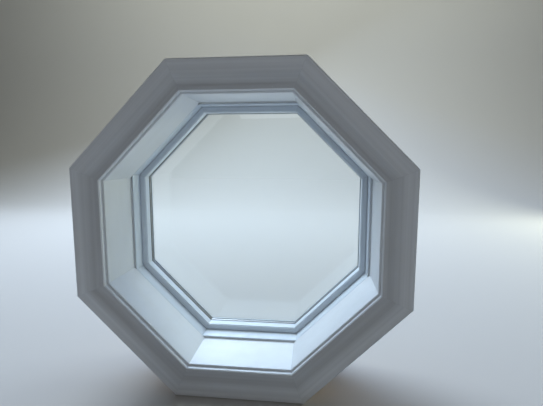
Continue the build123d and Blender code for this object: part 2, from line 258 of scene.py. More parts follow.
def pull(shape, edges, step):
    """Draws a strip out of some edges and gives its new edges."""
    drawn = bmesh.ops.extrude_edge_only(shape, edges=edges)["geom"]
    corners = [piece for piece in drawn if isinstance(piece, bmesh.types.BMVert)]
    bmesh.ops.translate(shape, verts=corners, vec=step)
    return [edge for edge in edges_of(drawn) if set(edge.verts) <= set(corners)]


def finish_shape(name, shape, material):
    """Makes a new piece of a finished bmesh, at the origin, with its finish."""
    mesh = bpy.data.meshes.new(name)
    shape.to_mesh(mesh)
    shape.free()
    mesh.materials.append(material)
    made = bpy.data.objects.new(name, mesh)
    bpy.context.scene.collection.objects.link(made)
    return made


# %% Draw the floor and the backdrop
floor_level = cad_box[0].z
floor_half_width = 12.0
floor_front = -7.0
curve_start = 2.4
curve_radius = 1.8
curve_steps = 32
backdrop_rise = 5.0
shape = bmesh.new()
front_ends = [shape.verts.new((x, floor_front, floor_level)) for x in (-floor_half_width, floor_half_width)]
floor_end = pull(shape, [shape.edges.new(front_ends)], (0, curve_start - floor_front, 0))
curve_middle = (0, curve_start, floor_level + curve_radius)
curved = bmesh.ops.spin(
    shape, geom=floor_end, cent=curve_middle, axis=(1, 0, 0), angle=pi / 2, steps=curve_steps)
pull(shape, edges_of(curved["geom_last"]), (0, 0, backdrop_rise))
for face in shape.faces:
    face.smooth = True

pale_floor = (0.55, 0.53, 0.50, 1)
floor_roughness = 0.9
material, tree, shader, place = start_finish("floor_paint")
shader.inputs["Base Color"].default_value = pale_floor
shader.inputs["Roughness"].default_value = floor_roughness
floor = finish_shape("floor", shape, material)
print("floor at", round(floor_level, 4), "faces:", len(floor.data.polygons))

# %% [markdown]
# ## Lamps
# Built in, such a window is lit from outdoors: the bottom board is the brightest, the top board
# and the beads are in half shade, and the casing faces the dimmer indoors. A large soft lamp
# behind and above gives most of the daylight, and a weak blue one beside it cools the shadows. A
# low one at the right, slightly green and yellow, gives the light that comes back from below, and
# a weak one in front the light indoors. The backdrop has a lamp of its own. One picture of light
# all round would be less work, but each lamp's strength can be set by one part of the window.

# %% Set up the lamps
middle = (0, 0, 0)


def soft_lamp(name, place, size, power, colour, aim=middle):
    """A rectangular lamp that faces a point."""
    lamp = bpy.data.lights.new(name, "AREA")
    lamp.shape = "RECTANGLE"
    lamp.size, lamp.size_y = size
    lamp.energy = power
    lamp.color = colour
    made = bpy.data.objects.new(name, lamp)
    towards = Vector(aim) - Vector(place)
    made.matrix_world = Matrix.Translation(place) @ towards.to_track_quat("-Z", "Y").to_matrix().to_4x4()
    made.visible_camera = False
    bpy.context.scene.collection.objects.link(made)
    print(name, power, "W")


soft_lamp("sky_lamp", (-1.3, 2.3, 2.5), size=(2.6, 2.2), power=154, colour=(0.63, 0.78, 1.0))
soft_lamp("far_sky_lamp", (1.3, 2.3, 2.5), size=(2.6, 2.2), power=26, colour=(0.10, 0.36, 1.0))
soft_lamp("ground_lamp", (2.6, 2.0, 0.5), size=(0.6, 0.6), power=22, colour=(0.94, 1.0, 0.80))
soft_lamp("backdrop_lamp", (0.0, 1.4, 3.6), size=(5.0, 1.0), power=106, colour=(0.94, 1.0, 0.92),
          aim=(0.0, 4.2, 0.6))
soft_lamp("room_lamp", (0.6, -3.2, 1.6), size=(3.0, 2.2), power=12, colour=(0.90, 0.94, 1.0))

# %% [markdown]
# ## Light from everywhere
# The world adds a little light from all directions, so that no shadow is black. It is stronger from
# outdoors than from indoors, as it is round a real window. An even world would be one number, but
# it would light the casing's face as much as the boards.

# %% Set up the world
indoor_direction, outdoor_direction = -0.6, 0.6
indoor_strength, outdoor_strength = 0.025, 0.175
world = bpy.data.worlds.new("studio")
world.use_nodes = True
tree = world.node_tree
looking = add_node(tree, "ShaderNodeTexCoord").outputs["Generated"]
towards_outdoors = split(tree, looking)["Y"]
strength = spread(
    tree, towards_outdoors, indoor_direction, outdoor_direction, indoor_strength, outdoor_strength)
tree.links.new(strength, tree.nodes["Background"].inputs["Strength"])
tree.nodes["Background"].inputs["Color"].default_value = (1.0, 1.0, 1.0, 1)
bpy.context.scene.world = world
bpy.context.scene.view_settings.view_transform = "Standard"
print("world strength:", indoor_strength, "to", outdoor_strength)

# %% [markdown]
# ## Coordinates that follow a side
# A board's brush strokes need a direction that runs along the board. For a part that lies on one
# side a Mapping node turns the coordinates by that side's angle. The frame, the spacer and the
# seals run round all eight sides in one piece, so a node group finds the nearest side first and
# turns by its angle. It also gives that side's number, from 0 to 7, as a seed. Without the modulo
# the left side would be number 4 above its middle and -4 below it, and two seeds would leave a step
# in the pattern. In both cases the result reads: x outward, y towards outdoors, z along the side.

# %% Turn coordinates to a side
def turned_place(tree, place, angle):
    """Coordinates of a part that lies on one side."""
    return add_node(tree, "ShaderNodeMapping", {"Vector": place, "Rotation": (0, angle, 0)}).outputs[0]


ring_place, taken, given = start_group(
    "ring_place",
    [("Vector", "Vector", None)],
    [("Place", "Vector"), ("Side", "Float")],
)
parted = split(ring_place, taken["Vector"])
turn = calc(ring_place, "ARCTAN2", parted["Z"], parted["X"])
nearest = calc(ring_place, "ROUND", calc(ring_place, "DIVIDE", turn, side_turn))
turn_back = {"Vector": taken["Vector"], "Angle": calc(ring_place, "MULTIPLY", nearest, side_turn)}
rotated = add_node(ring_place, "ShaderNodeVectorRotate", turn_back, rotation_type="Y_AXIS")
ring_place.links.new(rotated.outputs[0], given["Place"])
side_number = calc(ring_place, "FLOORED_MODULO", nearest, len(side_names))
ring_place.links.new(side_number, given["Side"])


def ring_coordinates(tree, place):
    """Coordinates of a part that runs round all sides, and a seed for each side."""
    made = place_group(tree, ring_place, {"Vector": place})
    return made["Place"], made["Side"]


print("group:", ring_place.name, "nodes:", len(ring_place.nodes))

# %% [markdown]
# ## Effects shared by several finishes
# Brush strokes, mitre joints, bare wood, extrusion lines and dust each come back in more than one
# material, so each is a node group, made once. A group gives only masks, heights and colours; the
# shader itself stays in the material, because that is what the export can read.
#
# Brushed paint has marks of three sizes: fine ones from the bristles, wider streaks, and slow
# patches where it lies thicker. Each is noise drawn out along the board, and each goes to a
# different place in a finish: the fine ones into the sheen, the wide ones into the colour.

# %% Brush strokes in paint
bristle_scale, streak_scale, patch_scale = (900, 900, 26), (230, 230, 5), (22, 22, 9)
brush_strokes, taken, given = start_group(
    "brush_strokes",
    [("Vector", "Vector", None), ("Seed", "Float", 0.0)],
    [("Bristles", "Float"), ("Streaks", "Float"), ("Patches", "Float")],
)
fine = noise(brush_strokes, taken["Vector"], taken["Seed"], bristle_scale, detail=3)
wide = noise(brush_strokes, taken["Vector"], taken["Seed"], streak_scale)
large = noise(brush_strokes, taken["Vector"], taken["Seed"], patch_scale)
brush_strokes.links.new(fine, given["Bristles"])
brush_strokes.links.new(spread(brush_strokes, wide, *usual_range), given["Streaks"])
brush_strokes.links.new(spread(brush_strokes, large, *usual_range), given["Patches"])
print("group:", brush_strokes.name, "nodes:", len(brush_strokes.nodes))

# %% [markdown]
# Two mitred lengths meet in a hairline joint, a few tenths of a millimetre wide, here open and
# there nearly closed. Cut into the mesh it would need many small faces, so it is a mask instead.
# The group knows where a side ends at each distance from the middle, takes the distance left to
# that end, and lets noise vary the width of the line. Near gives a wider band at the joint.

# %% Fine mitre joints
wander_scale = (60, 60, 60)
thinnest, widest = 0.15, 1.4
near_width = 0.012
line_edge = 0.5
mitre_joint, taken, given = start_group(
    "mitre_joint",
    [("Vector", "Vector", None), ("Face", "Float", 0.28), ("Half Length", "Float", 0.11),
     ("Width", "Float", 0.0003), ("Seed", "Float", 0.0)],
    [("Gap", "Float"), ("Near", "Float")],
)
parted = split(mitre_joint, taken["Vector"])
behind_face = calc(mitre_joint, "SUBTRACT", parted["X"], taken["Face"])
grown = calc(mitre_joint, "MULTIPLY", behind_face, tan(side_turn / 2))
end = calc(mitre_joint, "ADD", taken["Half Length"], grown)
left_over = calc(mitre_joint, "SUBTRACT", end, calc(mitre_joint, "ABSOLUTE", parted["Z"]))
wander = noise(mitre_joint, taken["Vector"], taken["Seed"], wander_scale, detail=3)
line_share = spread(mitre_joint, wander, *narrow_range, thinnest, widest)
wide_line = calc(mitre_joint, "MULTIPLY", taken["Width"], line_share)
line = calc(mitre_joint, "SUBTRACT", 1.0, calc(mitre_joint, "DIVIDE", left_over, wide_line))
mitre_joint.links.new(spread(mitre_joint, line, 0.0, line_edge), given["Gap"])
mitre_joint.links.new(spread(mitre_joint, left_over, 0.0, near_width, 1.0, 0.0), given["Near"])
print("group:", mitre_joint.name, "nodes:", len(mitre_joint.nodes))

# %% [markdown]
# Softwood grows in rings of pale early wood that darken slowly to late wood and start again. On a
# sawn board they are nearly straight lines along it. A sine of the place across the board draws
# them, slow noise bends them, and raising the sine to a power keeps the dark part narrow. Fine
# fibres break up both. A Wave texture is close to this, but can't be bent and sharpened as freely.

# %% Bare softwood
early_wood, late_wood = (0.68, 0.47, 0.27, 1), (0.47, 0.29, 0.14, 1)
bend_scale, fibre_scale = (9, 9, 1.6), (1600, 1600, 45)
ring_rate, bend_size, slope, sharpness = 800, 55, 0.8, 3.0
fibre_range, palest_fibre = (0.25, 0.6), 0.5
fibre_relief, ring_relief = 0.7, 0.3
bare_wood, taken, given = start_group(
    "bare_wood",
    [("Vector", "Vector", None), ("Seed", "Float", 0.0),
     ("Early", "Color", early_wood), ("Late", "Color", late_wood)],
    [("Color", "Color"), ("Height", "Float")],
)
bend = noise(bare_wood, taken["Vector"], taken["Seed"], bend_scale)
parted = split(bare_wood, taken["Vector"])
across = add_share(bare_wood, parted["X"], parted["Y"], slope)
rings = add_share(bare_wood, calc(bare_wood, "MULTIPLY", across, ring_rate), bend, bend_size)
rings = add_share(bare_wood, 0.5, calc(bare_wood, "SINE", rings), 0.5)
fibres = noise(bare_wood, taken["Vector"], taken["Seed"], fibre_scale, detail=3)
broken = spread(bare_wood, fibres, *fibre_range, palest_fibre, 1.0)
late = calc(bare_wood, "MULTIPLY", calc(bare_wood, "POWER", rings, sharpness), broken)
bare_wood.links.new(blend(bare_wood, late, taken["Early"], taken["Late"]), given["Color"])
relief = add_share(bare_wood, calc(bare_wood, "MULTIPLY", fibres, fibre_relief), rings, ring_relief)
bare_wood.links.new(relief, given["Height"])
print("group:", bare_wood.name, "nodes:", len(bare_wood.nodes))

# %% [markdown]
# A die leaves faint lines along vinyl and metal that is pressed or rolled through it. They run the
# whole length, so their noise is drawn out more than a brush stroke. Clouds vary tone and gloss
# slowly, and an even grain keeps the surface from looking like glass.

# %% Extrusion lines in vinyl and metal
line_scale, cloud_scale, grain_scale = (1400, 1400, 1.2), (14, 14, 6), (2600, 2600, 2600)
extrusion, taken, given = start_group(
    "extrusion",
    [("Vector", "Vector", None), ("Seed", "Float", 0.0)],
    [("Lines", "Float"), ("Clouds", "Float"), ("Grain", "Float")],
)
lines = noise(extrusion, taken["Vector"], taken["Seed"], line_scale, detail=3)
clouds = noise(extrusion, taken["Vector"], taken["Seed"], cloud_scale)
grain = noise(extrusion, taken["Vector"], taken["Seed"], grain_scale, detail=1)
extrusion.links.new(lines, given["Lines"])
extrusion.links.new(spread(extrusion, clouds, *usual_range), given["Clouds"])
extrusion.links.new(grain, given["Grain"])
print("group:", extrusion.name, "nodes:", len(extrusion.nodes))

# %% [markdown]
# Dust lies on faces that look up, as a thin film with denser specks, and gathers in some places
# more than in others. The upward part of a face's direction says where it can lie, and two noises
# say how much of it does. Loose particles would be too small to see from here.

# %% Dust on faces that look up
speck_scale, drift_scale = (700, 700, 700), (30, 30, 30)
speck_range, drift_range, film_range = (0.52, 0.72), (0.35, 0.7), (0.3, 0.75)
upward_range, film_share = (0.1, 0.9), 0.35
dust, taken, given = start_group(
    "dust",
    [("Vector", "Vector", None), ("Amount", "Float", 0.3), ("Seed", "Float", 0.0)],
    [("Mask", "Float")],
)
upward = split(dust, face_direction(dust))["Z"]
specks = noise(dust, taken["Vector"], taken["Seed"], speck_scale, detail=4, roughness=0.7)
drift = noise(dust, taken["Vector"], taken["Seed"], drift_scale, detail=3)
settled = calc(dust, "MULTIPLY", spread(dust, specks, *speck_range), spread(dust, drift, *drift_range))
film = add_share(dust, settled, spread(dust, drift, *film_range), film_share)
facing = calc(dust, "MULTIPLY", spread(dust, upward, *upward_range), taken["Amount"])
dust.links.new(calc(dust, "MULTIPLY", film, facing), given["Mask"])
print("group:", dust.name, "nodes:", len(dust.nodes))

# %% [markdown]
# ## Painted shade and a painted highlight on the casing's moulding
# The casing is moulded: a narrow edge next to the boards, a hollow, and a flat outer band. A
# painted highlight lightens the edge, where light from the opening catches it, and painted shade
# darkens the hollow, where the tone falls off slowly. Long strokes of the brush run along the whole
# length. Light alone didn't give that fall in tone, so the paint itself is shaded by the distance
# from the casing's inner face, which the coordinates of its side give directly.

# %% Paint shade and a highlight onto the moulding
# The inner edge gets a painted highlight and the hollow gets painted shade, both set by the distance from
# the inner face.
highlight_begins, highlight_ends = 0.0010, 0.0020
hollow_fades, flat_begins = 0.020, 0.042
light_paint, painted_hollow_shade, stroke_shade = 1.08, 0.18, 0.11
long_stroke_scale = (150, 60, 1.2)
painted_edge_highlight = (0.90, 0.92, 0.94)


def paint_moulding_shade_and_highlight(tree, colour, side_place, seed, own):
    """Paint with a painted highlight on the inner edge and painted shade in the hollow, with long strokes.
    """
    across = split(tree, side_place)["X"]
    past_highlight = spread(tree, across, own + highlight_begins, own + highlight_ends)
    before_flat = spread(tree, across, own + hollow_fades, own + flat_begins, 1.0, 0.0)
    # This mask carries the painted shade in the hollow; the edge keeps the painted highlight.
    hollow = calc(tree, "MULTIPLY", past_highlight, before_flat)
    long_strokes = noise(tree, side_place, seed, long_stroke_scale)
    shade = add_share(tree, light_paint, hollow, -painted_hollow_shade)
    shade = calc(tree, "SUBTRACT", shade, spread(tree, long_strokes, *narrow_range, 0.0, stroke_shade))
    shaded = add_node(tree, "ShaderNodeVectorMath", {0: colour, "Scale": shade}, operation="SCALE")
    return blend(tree, past_highlight, painted_edge_highlight, shaded.outputs[0])


print("hollow from", highlight_ends, "to", flat_begins, "m past the inner face")

# %% [markdown]
# ## Where a board ends, and where it is bare
# Faces that are covered once the window is built in are left bare: the casing's back, and the
# lining boards' outer faces and ends. They could be picked out and given a material of their own,
# but the direction that a face looks in says the same, so that one material covers a whole board.
# A board's length on its inner face follows from its own distance to the middle and its
# neighbour's, because the diagonal boards stand a few millimetres closer to it than the others.

# %% Helpers for a board
bare_range = (0.55, 0.60)


def corner_reach(own, beside):
    """Half the length of a side whose neighbours lie at another distance."""
    return (beside - own * cos(side_turn)) / sin(side_turn)


def covered_faces(tree, angle, is_lining):
    """A mask for the faces of a board that are covered once it is built in."""
    looks = split(tree, turned_place(tree, face_direction(tree), angle))
    covered = calc(tree, "MAXIMUM", looks["Y"], looks["X"]) if is_lining else looks["Y"]
    return spread(tree, covered, *bare_range)


level_face = reach("jamb_right", outward(sides["right"]))[0]
diagonal_face = reach("jamb_upper_right", outward(sides["upper_right"]))[0]
print("lining faces at:", round(level_face, 4), "and", round(diagonal_face, 4))
print("a level board's half length:", round(corner_reach(level_face, diagonal_face), 4))

# %% [markdown]
# ## Painted casing and lining boards
# The casing and the boards are softwood under brushed white paint. What tells paint from plain
# white is its sheen: strokes along the board, a slow change of gloss, and hairline joints at the
# mitres. One material for all boards would be shorter, but one per side keeps each board's own
# strokes and grain. It has three parts: the colour, the roughness and the height for the bump.

# %% Paint for one board
paint_white = (0.80, 0.82, 0.84)
worn_white = tuple(part * kept for part, kept in zip(paint_white, (0.95, 0.94, 0.92)))
dust_on_paint, joint_grey = (0.55, 0.52, 0.47), (0.40, 0.40, 0.39)
patch_share, streak_share = 0.5, 0.35
board_joint_width, board_joint_share, board_dust = 0.0002, 0.35, 0.35
glossy_paint, dull_paint, bare_roughness = 0.26, 0.38, 0.75
patch_dulling, paint_dust_dulling = 0.08, 0.5
streak_rise, joint_rise, paint_relief = 0.6, -2.0, 0.00006


def painted_board(name, angle, seed, own, beside, is_lining):
    """Brushed paint on the faces that show, bare wood on those that are covered."""
    material, tree, shader, place = start_finish(name)
    side_place = turned_place(tree, place, angle)
    pattern = {"Vector": side_place, "Seed": seed}
    brushed = place_group(tree, brush_strokes, pattern)
    joint_place = {"Face": own, "Half Length": corner_reach(own, beside), "Width": board_joint_width}
    joint = place_group(tree, mitre_joint, {**pattern, **joint_place})
    wood = place_group(tree, bare_wood, pattern)
    settled = place_group(tree, dust, {"Vector": place, "Seed": seed, "Amount": board_dust})["Mask"]
    bare = covered_faces(tree, angle, is_lining)

    colour = lay_over(tree, paint_white, worn_white, brushed["Patches"], patch_share)
    colour = lay_over(tree, colour, worn_white, brushed["Streaks"], streak_share)
    # The casing gets a painted highlight on its inner edge and painted shade in its hollow.
    if not is_lining:
        colour = paint_moulding_shade_and_highlight(tree, colour, side_place, seed, own)
    colour = blend(tree, settled, colour, dust_on_paint)
    colour = lay_over(tree, colour, joint_grey, joint["Gap"], board_joint_share)
    tree.links.new(blend(tree, bare, colour, wood["Color"]), shader.inputs["Base Color"])

    sheen = spread(tree, brushed["Bristles"], *usual_range, glossy_paint, dull_paint)
    sheen = add_share(tree, sheen, brushed["Patches"], patch_dulling)
    sheen = add_share(tree, sheen, settled, paint_dust_dulling)
    sheen = calc(tree, "MAXIMUM", sheen, calc(tree, "MULTIPLY", bare, bare_roughness))
    tree.links.new(sheen, shader.inputs["Roughness"])

    rise = add_share(tree, brushed["Bristles"], brushed["Streaks"], streak_rise)
    rise = add_share(tree, rise, joint["Gap"], joint_rise)
    height = add_node(tree, "ShaderNodeMix", {0: bare, 2: rise, 3: wood["Height"]}).outputs[0]
    bump(tree, shader, height, paint_relief)
    return material


print("paint:", paint_white, "worn:", tuple(round(part, 3) for part in worn_white))

# %% [markdown]
# Each board needs to know how far its own inner face and that of its neighbour lie from the middle,
# because the mitre joint between them starts where the two faces cross. Both are measured on the
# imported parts. The seeds are ten apart from side to side and one apart between the casing and the
# lining, so that no two boards have the same strokes.

# %% Paint the sixteen boards
for number, (name, angle) in enumerate(sides.items()):
    beside = side_names[(number + 1) % len(side_names)]
    for kind, is_lining in (("casing", False), ("jamb", True)):
        own_face = reach(f"{kind}_{name}", outward(angle))[0]
        beside_face = reach(f"{kind}_{beside}", outward(sides[beside]))[0]
        seed = 10 * number + is_lining
        board = painted_board(f"{kind}_paint_{name}", angle, seed, own_face, beside_face, is_lining)
        dress(f"{kind}_{name}", board)
print("painted boards:", 2 * len(sides))

# %% [markdown]
# ## Weather on the outdoor faces
# Sun and rain turn white vinyl a little grey and dull, with streaks that run down. Only the faces
# that look outdoors are reached, so the mask starts from a face's direction, and noise drawn out
# downwards varies it. It goes softly round the edges, which picked-out faces would not.

# %% A mask for weathered vinyl
outdoor_range, lightest_run = (0.3, 0.9), 0.85
run_scale, run_seed = (70, 70, 6), 8.0


def weathering(tree, place):
    """A mask for faces that look outdoors, with streaks that run down."""
    outdoors = spread(tree, split(tree, face_direction(tree))["Y"], *outdoor_range)
    runs = noise(tree, place, run_seed, run_scale, detail=3)
    return calc(tree, "MULTIPLY", outdoors, spread(tree, runs, *narrow_range, lightest_run, 1.0))


print("streaks drawn out", round(run_scale[0] / run_scale[2], 1), "times downwards")

# %% [markdown]
# ## White vinyl
# The frame is one extrusion welded at its corners, and the beads are mitred lengths that snap into
# it. Extruded vinyl has a soft even sheen with faint lines along its length, where the die left
# them. At the frame's corners the weld was scraped flat, which leaves a slightly duller band. One
# helper makes the material for a straight length, which is turned by its side's angle, and for the
# frame, which runs round all sides.

# %% Vinyl for one piece
new_vinyl, clouded_vinyl = (0.75, 0.81, 0.87), (0.71, 0.77, 0.83)
weathered_vinyl, dust_on_vinyl = (0.47, 0.49, 0.50), (0.50, 0.48, 0.43)
glossy_vinyl, dull_vinyl, vinyl_dust = 0.26, 0.34, 0.45
weld_dulling, vinyl_dust_dulling, weather_dulling = 0.12, 0.6, 0.18
grain_rise, vinyl_relief = 0.35, 0.00003


def vinyl(name, angle, seed, joint_width, joint_shade, joint_share):
    """Extruded vinyl; with no angle, the pattern follows whichever side is nearest."""
    material, tree, shader, place = start_finish(name)
    if angle is None:
        side_place, seed = ring_coordinates(tree, place)
    else:
        side_place = turned_place(tree, place, angle)
    pattern = {"Vector": side_place, "Seed": seed}
    lines = place_group(tree, extrusion, pattern)
    settled = place_group(tree, dust, {"Vector": place, "Amount": vinyl_dust, "Seed": seed})["Mask"]
    half_length = corner_reach(sight_line, sight_line)
    joint_place = {"Face": sight_line, "Half Length": half_length, "Width": joint_width}
    joint = place_group(tree, mitre_joint, {**pattern, **joint_place})
    weathered = weathering(tree, place)
    colour = blend(tree, lines["Clouds"], new_vinyl, clouded_vinyl)
    colour = blend(tree, weathered, colour, weathered_vinyl)
    colour = blend(tree, settled, colour, dust_on_vinyl)
    colour = lay_over(tree, colour, (joint_shade,) * 3, joint["Gap"], joint_share)
    tree.links.new(colour, shader.inputs["Base Color"])

    sheen = spread(tree, lines["Clouds"], 0.0, 1.0, glossy_vinyl, dull_vinyl)
    sheen = add_share(tree, sheen, joint["Near"], weld_dulling)
    sheen = add_share(tree, sheen, settled, vinyl_dust_dulling)
    sheen = add_share(tree, sheen, weathered, weather_dulling)
    tree.links.new(sheen, shader.inputs["Roughness"])

    rise = add_share(tree, lines["Lines"], lines["Grain"], grain_rise)
    rise = add_share(tree, rise, joint["Gap"], joint_rise)
    bump(tree, shader, rise, vinyl_relief)
    return material


print("vinyl:", new_vinyl, "to", clouded_vinyl, "weathered:", weathered_vinyl)

# %% [markdown]
# The beads meet in dark hairline mitres. The frame's welded corners show only a light line, and the
# moulded covers of the weep slots have no joint at all, so its share is nought.

# %% Dress the frame, the beads and the weep covers
frame_finish = vinyl("frame_vinyl", None, 0.0, joint_width=0.0005, joint_shade=0.62, joint_share=0.5)
dress("vinyl_frame", frame_finish)
for number, (name, angle) in enumerate(sides.items()):
    bead_finish = vinyl(f"bead_vinyl_{name}", angle, 3.0 + number,
                        joint_width=0.0003, joint_shade=0.30, joint_share=0.5)
    dress(f"bead_{name}", bead_finish)
dress("weep_covers", vinyl("cover_vinyl", None, 0.0, joint_width=0.0001, joint_shade=0.6, joint_share=0.0))
print("vinyl pieces:", 2 + len(sides))

# %% [markdown]
# ## Weld flash at the corners
# When the frame's lengths are welded, molten vinyl is pressed out along each corner. Where the
# window shows, it is scraped off. On the fin and on the frame's outer faces, which are covered once
# it is built in, the thin ragged ridge stays. A bump could suggest it, but it stands up against the
# light in a side view, so it is a real ridge: a bar cut into short steps, whose corners are
# moved by noise.

# %% A ragged ridge
ridge_width, ridge_rise, ridge_step, ridge_foot = 0.0015, 0.0006, 0.0016, 0.0001
ragged_steps, ragged_width, ragged_rise, ridge_taper = 0.4, 0.6, 0.9, 0.6


def flash_ridge(shape, start, end, up, seed):
    """A thin ragged ridge from one place to another."""
    run = end - start
    across = run.cross(up).normalized()
    earlier = len(shape.verts)
    bar = bmesh.ops.create_cube(shape, size=1.0)["verts"]
    near_end = [corner for corner in bar if corner.co.x < 0]
    long_edges = [edge for corner in near_end for edge in corner.link_edges
                  if edge.other_vert(corner).co.x > 0]
    cuts = int(run.length / ridge_step)
    bmesh.ops.subdivide_edges(shape, edges=long_edges, cuts=cuts, use_grid_fill=True)
    for corner in list(shape.verts)[earlier:]:
        share, side, level = corner.co.x + 0.5, corner.co.y * 2, corner.co.z + 0.5
        ragged = noise_at((share * run.length / ridge_step * ragged_steps, side + 3 * level, seed))
        taper = 1 - ridge_taper * level
        sideways = side * ridge_width / 2 * (1 + ragged_width * ragged) * taper
        lift = level * ridge_rise * (1 + ragged_rise * ragged) - (1 - level) * ridge_foot
        corner.co = start + run * share + across * sideways + up * lift


print("ridges:", ridge_width, "m wide, in steps of", ridge_step, "m")

# %% [markdown]
# Every corner has three ridges: one across the fin, one on the frame's outer face outdoors of the
# fin, and one indoors of it. They end just short of the edges, so that nothing stands out past them.

# %% Build the ridges at all corners
short_of_fin_edge, short_of_outdoor_face = 0.998, 0.003
fin_vertices = [v for v in parts["vinyl_frame"].data.vertices if v.co.x > (frame_half + fin_edge) / 2]
fin_face = max(v.co.y for v in fin_vertices)
bead_front = reach("bead_right", depth)[0]
shape = bmesh.new()
for number, angle in enumerate(sides.values()):
    corner_way = outward(angle + side_turn / 2) / cos(side_turn / 2)
    corner_out = corner_way.normalized()
    frame_corner = corner_way * frame_half
    at_fin = frame_corner + depth * fin_face
    fin_end = corner_way * fin_edge * short_of_fin_edge + depth * fin_face
    outdoor_end = frame_corner + depth * (outdoor_face - short_of_outdoor_face)
    flash_ridge(shape, at_fin, fin_end, depth, 10 + number)
    flash_ridge(shape, at_fin, outdoor_end, corner_out, 30 + number)
    flash_ridge(shape, frame_corner + depth * bead_front, frame_corner, corner_out, 50 + number)
bmesh.ops.recalc_face_normals(shape, faces=shape.faces)
weld_flash = finish_shape("weld_flash", shape, frame_finish)
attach(weld_flash, "root")
print("weld flash faces:", len(weld_flash.data.polygons))

# %% [markdown]
# ## Glass
# A double pane is clear, with a green cast that only shows at its edges. The shader is plain
# glass. For light from lamps it is swapped for a see-through one, so that the boards behind the
# glass are lit smoothly and not by noisy caustics. Even good glass isn't perfectly flat, so a
# very faint wave bends what is seen through it.

# %% Glass for both panes
glass_ior = 1.52
clear_cast, green_cast = (0.975, 0.99, 0.98), (0.965, 0.985, 0.975)
let_through = (0.982, 0.990, 0.986, 1)
cast_scale, wave_scale, wave_height = (3, 3, 3), (7, 7, 7), 0.00002
material, tree, shader, place = start_finish("clear_glass")
shader.inputs["Transmission Weight"].default_value = 1.0
shader.inputs["Roughness"].default_value = 0.0
shader.inputs["IOR"].default_value = glass_ior
cast = noise(tree, place, 1.0, cast_scale)
tree.links.new(blend(tree, cast, clear_cast, green_cast), shader.inputs["Base Color"])
bump(tree, shader, noise(tree, place, 2.0, wave_scale, detail=0), wave_height)
clear = add_node(tree, "ShaderNodeBsdfTransparent", {"Color": let_through})
rays = add_node(tree, "ShaderNodeLightPath").outputs
lamp_ray = calc(tree, "MAXIMUM", rays["Is Shadow Ray"], rays["Is Diffuse Ray"])
mixed = add_node(tree, "ShaderNodeMixShader", {0: lamp_ray, 1: shader.outputs[0], 2: clear.outputs[0]})
tree.links.new(mixed.outputs[0], tree.nodes["Material Output"].inputs["Surface"])
for pane in ("glass_inner", "glass_outer"):
    dress(pane, material)
print("glass:", material.name, "index", glass_ior)

# %% [markdown]
# ## The edge of the double pane
# Between the panes runs a bent aluminium bar with two rows of small holes, so that the drying beads
# inside can take up moist air. Its metal has gone a dull grey, and only its narrow face between the
# panes is seen. The holes are half a millimetre wide: as a mask they cost no faces. Ping-pong folds
# the length of a side into one step of holes, and the distance to the hole's middle is then the
# same for all of them.

# %% Spacer bar
hole_step, hole_row = 0.0032, 0.0026
hole_inside, hole_rim, hole_narrowing = 0.00045, 0.00055, 3.0
# The holes are coloured near black as painted shade for their dark insides.
pale_metal, dull_metal, painted_hole_shade = (0.44, 0.45, 0.46), (0.33, 0.34, 0.35), (0.02, 0.02, 0.02)
smooth_metal, rough_metal, line_rise, metal_relief = 0.28, 0.45, 0.3, 0.0001
material, tree, shader, place = start_finish("spacer_metal")
side_place, side_seed = ring_coordinates(tree, place)
parted = split(tree, side_place)
bar_middle = sum(reach("spacer_bar", depth)) / 2
along = calc(tree, "PINGPONG", parted["Z"], hole_step / 2)
off_middle = calc(tree, "ABSOLUTE", calc(tree, "SUBTRACT", parted["Y"], bar_middle))
off_row = calc(tree, "ABSOLUTE", calc(tree, "SUBTRACT", off_middle, hole_row))
along_squared = calc(tree, "POWER", along, 2.0)
off_row_squared = calc(tree, "POWER", off_row, 2.0)
distance = calc(tree, "SQRT", add_share(tree, along_squared, off_row_squared, hole_narrowing))
holes = spread(tree, distance, hole_inside, hole_rim, 1.0, 0.0)
lines = place_group(tree, extrusion, {"Vector": side_place, "Seed": side_seed})
metal = blend(tree, lines["Clouds"], pale_metal, dull_metal)
# Painted shade in the holes.
tree.links.new(blend(tree, holes, metal, painted_hole_shade), shader.inputs["Base Color"])
tree.links.new(calc(tree, "SUBTRACT", 1.0, holes), shader.inputs["Metallic"])
sheen = spread(tree, lines["Lines"], *usual_range, smooth_metal, rough_metal)
tree.links.new(sheen, shader.inputs["Roughness"])
rise = calc(tree, "SUBTRACT", calc(tree, "MULTIPLY", lines["Lines"], line_rise), holes)
bump(tree, shader, rise, metal_relief)
dress("spacer_bar", material)
print("spacer bar: a hole every", hole_step, "m")

# %% [markdown]
# ## Rubber, sealant and foam
# Black sealant fills the edge behind the spacer, a black gasket and a foam tape hold the glass on
# both sides, and dense rubber blocks carry it. Of all these only the gasket's lip is seen from
# indoors. They are all dark, even and soft, and differ in tone, in the size of their grain and in
# how dull they are, so one helper makes them, with those as its values.

# %% Soft fillings
dust_on_rubber, rubber_dust = (0.4, 0.38, 0.34), 0.3
cloud_size, roughness_swing = 12, 0.08


def soft_filling(name, dark, light, scale, relief, rough):
    """An even material with a fine grain and cloudy tone: rubber, sealant or foam."""
    material, tree, shader, place = start_finish(name)
    clouds = spread(tree, noise(tree, place, 1.0, scale / cloud_size, detail=3), *usual_range)
    grain = noise(tree, place, 2.0, scale, detail=3, roughness=0.6)
    tone = add_share(tree, calc(tree, "MULTIPLY", clouds, 0.5), grain, 0.5)
    settled = place_group(tree, dust, {"Vector": place, "Amount": rubber_dust})["Mask"]
    colour = blend(tree, settled, blend(tree, tone, dark, light), dust_on_rubber)
    tree.links.new(colour, shader.inputs["Base Color"])
    dullness = spread(tree, grain, *usual_range, rough - roughness_swing, rough + roughness_swing)
    tree.links.new(dullness, shader.inputs["Roughness"])
    bump(tree, shader, grain, relief)
    return material


